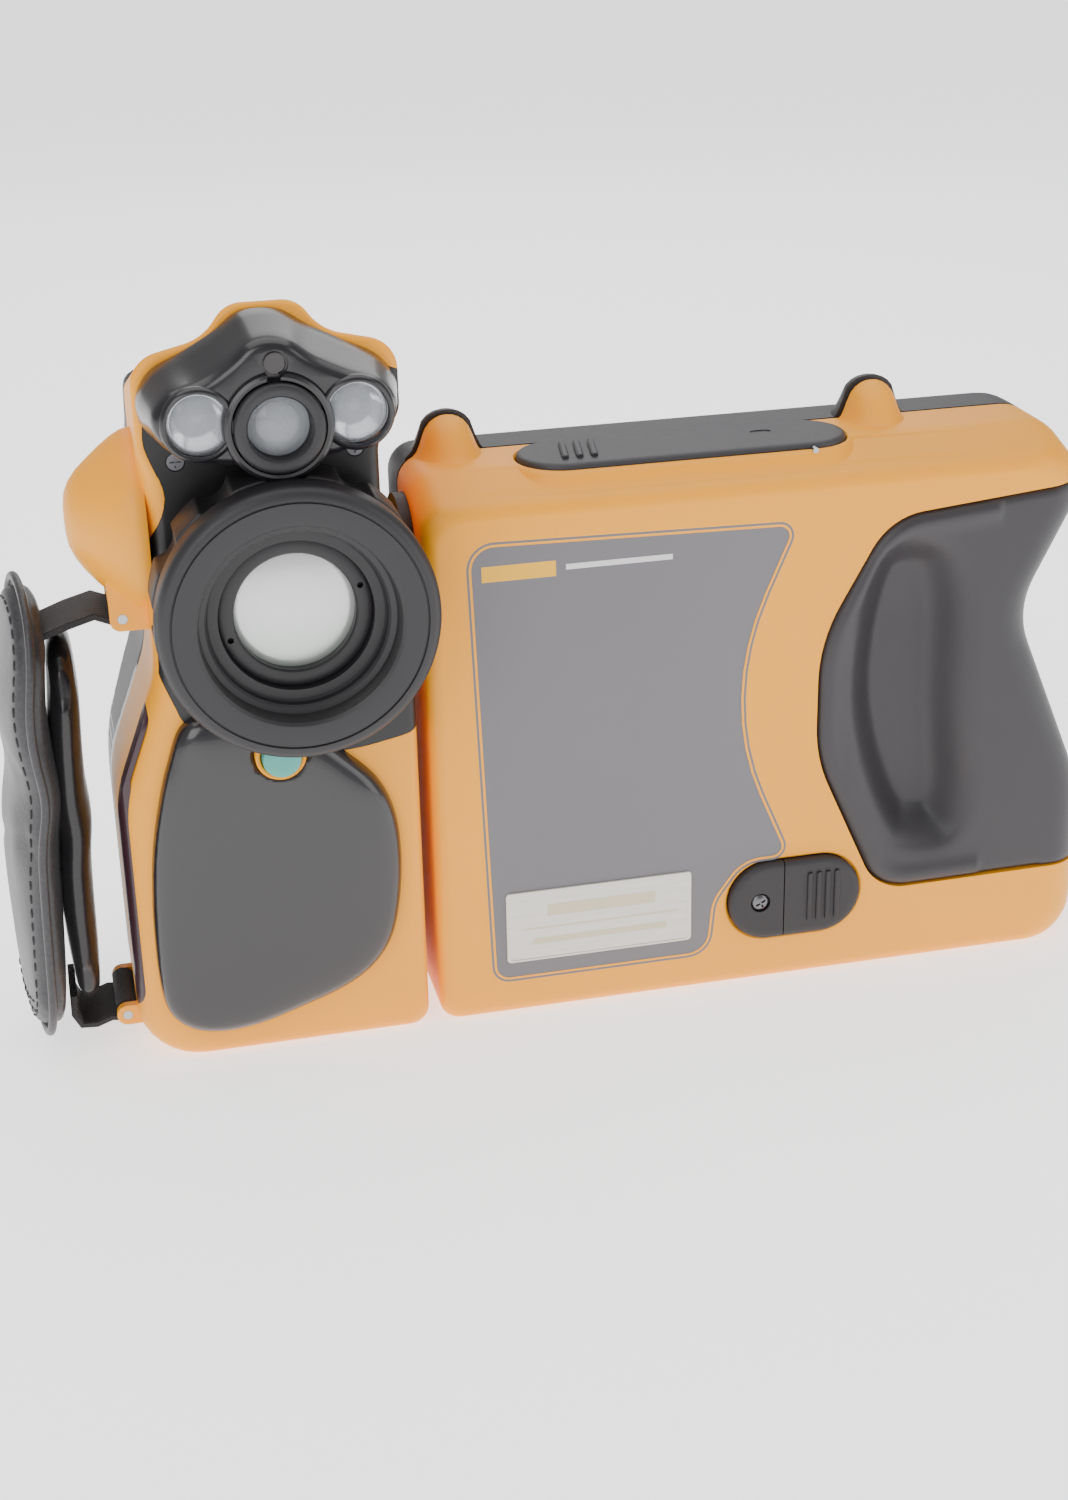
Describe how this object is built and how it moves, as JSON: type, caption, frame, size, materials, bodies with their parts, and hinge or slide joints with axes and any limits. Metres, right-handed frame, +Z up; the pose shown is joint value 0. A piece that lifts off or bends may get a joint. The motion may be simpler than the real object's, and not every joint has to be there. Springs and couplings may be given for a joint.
{
  "type": "thermal imaging camera",
  "caption": "Handheld thermal imaging camera: a screen module with a hand hold, and a tilting infrared lens module with lights, trigger and padded hand strap.",
  "frame": {"origin": "centre of the tripod socket mouth, on the flat base under the middle of the camera", "axes": "+X along the width, from the lens module to the hand hold; +Y from the lens side to the screen side; +Z up"},
  "size_m": [0.2855, 0.0942, 0.1924],
  "materials": {
    "orange_shell": "moulded, satin",
    "dark_shell": "moulded, fine texture",
    "black_cover": "moulded, fine texture",
    "grip_rubber": "overmoulded, satin",
    "side_rubber": "overmoulded, dark red-brown",
    "soft_rubber": "matt",
    "panel_grey": "printed film, satin",
    "plate_metal": "brushed",
    "screw_steel": "blackened",
    "pin_steel": "plain",
    "brass": "turned",
    "aluminium": "turned",
    "board": "solder mask",
    "module_black": "moulded",
    "card_blue": "moulded",
    "screen_glass": "polished",
    "lcd": "gloss",
    "key_grey": "satin",
    "key_green": "satin",
    "key_yellow": "satin",
    "trigger_teal": "gloss",
    "clear_glass": "polished",
    "mirror": "reflector",
    "laser_red": "polished",
    "lens_black": "fine matt black",
    "germanium": "coated germanium",
    "cell_brass": "turned",
    "detector": "package on a board",
    "strap_leather": "padded, stitched",
    "strap_lining": "smooth",
    "webbing": "woven nylon"
  },
  "bodies": {
    "display": {"display_front_shell": "orange_shell", "display_rear_shell": "dark_shell", "display_gasket": "soft_rubber", "label_panel": "panel_grey", "data_plate": "plate_metal", "right_grip": "grip_rubber", "port_cover_anchor": "soft_rubber", "port_cover_screw": "screw_steel", "power_jack": "module_black", "flap_hinge_pin": "pin_steel", "memory_card": "card_blue", "card_socket": "pin_steel", "screen_window": "screen_glass", "lcd_panel": "lcd", "main_board": "board", "speaker": "module_black", "case_screws": "screw_steel", "tripod_bush": "brass", "pivot_axle": "aluminium", "pivot_washer": "soft_rubber", "pivot_nut": "pin_steel"},
    "top_flap": {"top_flap": "soft_rubber"},
    "port_cover": {"port_cover": "soft_rubber"},
    "key_f1": {"key_f1": "key_grey"},
    "key_f2": {"key_f2": "key_grey"},
    "key_f3": {"key_f3": "key_grey"},
    "key_power": {"key_power": "key_green"},
    "key_enter": {"key_enter": "key_yellow"},
    "nav_pad": {"nav_pad": "key_grey"},
    "imager": {"imager_front_shell": "orange_shell", "imager_rear_shell": "dark_shell", "imager_gasket": "soft_rubber", "imager_front_cover": "black_cover", "cover_screws": "screw_steel", "pivot_bush": "brass", "strap_hub": "orange_shell", "front_grip_pad": "grip_rubber", "side_grip": "side_rubber", "trigger_collar": "orange_shell", "battery_pack": "module_black", "battery_door_pin": "pin_steel", "light_pod": "black_cover", "torch_reflectors": "mirror", "torch_windows": "clear_glass", "camera_barrel": "lens_black", "camera_window": "clear_glass", "laser_window": "laser_red", "lens_barrel": "lens_black", "lens_bezel": "lens_black", "lens_retaining_ring": "lens_black", "front_lens": "germanium", "infrared_detector": "detector", "strap_pad": "strap_leather", "strap_liner": "strap_lining", "strap_webbing": "webbing", "strap_pins": "pin_steel"},
    "focus_ring": {"focus_ring": "lens_black"},
    "focus_cell": {"focus_cell": "cell_brass"},
    "trigger": {"trigger": "trigger_teal"},
    "battery_door": {"battery_door": "dark_shell"}
  },
  "joints": [
    {"name": "imager_tilt", "type": "hinge", "parent": "display", "child": "imager", "pos_m": [-0.0501, -0.002, 0.1247], "axis": [1, 0, 0], "range_deg": [-90, 90]},
    {"name": "focus_turn", "type": "hinge", "parent": "imager", "child": "focus_ring", "pos_m": [-0.082, -0.038, 0.1247], "axis": [0, 1, 0], "range_deg": [-120, 120]},
    {"name": "focus_travel", "type": "slide", "parent": "imager", "child": "focus_cell", "axis": [0, 1, 0], "range_m": [-0.0015, 0.0015]},
    {"name": "trigger_pull", "type": "slide", "parent": "imager", "child": "trigger", "axis": [0, 1, 0], "range_m": [0, 0.0025], "stiffness_N_per_m": 500, "springref_m": -0.001},
    {"name": "battery_door_swing", "type": "hinge", "parent": "imager", "child": "battery_door", "pos_m": [-0.088, 0.0186, 0.0014], "axis": [1, 0, 0], "range_deg": [0, 95]},
    {"name": "top_flap_swing", "type": "hinge", "parent": "display", "child": "top_flap", "pos_m": [0.0525, -0.0045, 0.1442], "axis": [0, 1, 0], "range_deg": [0, 95]},
    {"name": "port_cover_swing", "type": "hinge", "parent": "display", "child": "port_cover", "pos_m": [0.044, -0.0268, 0.0246], "axis": [0, 0, -1], "range_deg": [0, 100]},
    {"name": "key_f1_press", "type": "slide", "parent": "display", "child": "key_f1", "axis": [0, -1, 0], "range_m": [0, 0.0008], "stiffness_N_per_m": 1200, "springref_m": -0.0004},
    {"name": "key_f2_press", "type": "slide", "parent": "display", "child": "key_f2", "axis": [0, -1, 0], "range_m": [0, 0.0008], "stiffness_N_per_m": 1200, "springref_m": -0.0004},
    {"name": "key_f3_press", "type": "slide", "parent": "display", "child": "key_f3", "axis": [0, -1, 0], "range_m": [0, 0.0008], "stiffness_N_per_m": 1200, "springref_m": -0.0004},
    {"name": "key_power_press", "type": "slide", "parent": "display", "child": "key_power", "axis": [0, -1, 0], "range_m": [0, 0.0008], "stiffness_N_per_m": 1200, "springref_m": -0.0004},
    {"name": "key_enter_press", "type": "slide", "parent": "display", "child": "key_enter", "axis": [0, -1, 0], "range_m": [0, 0.0008], "stiffness_N_per_m": 1200, "springref_m": -0.0004},
    {"name": "nav_pad_press", "type": "slide", "parent": "display", "child": "nav_pad", "axis": [0, -1, 0], "range_m": [0, 0.0008], "stiffness_N_per_m": 1200, "springref_m": -0.0004}
  ],
  "couplings": [
    {"joint": "focus_travel", "follows": "focus_turn", "m_per_rad": 0.00071548}
  ]
}
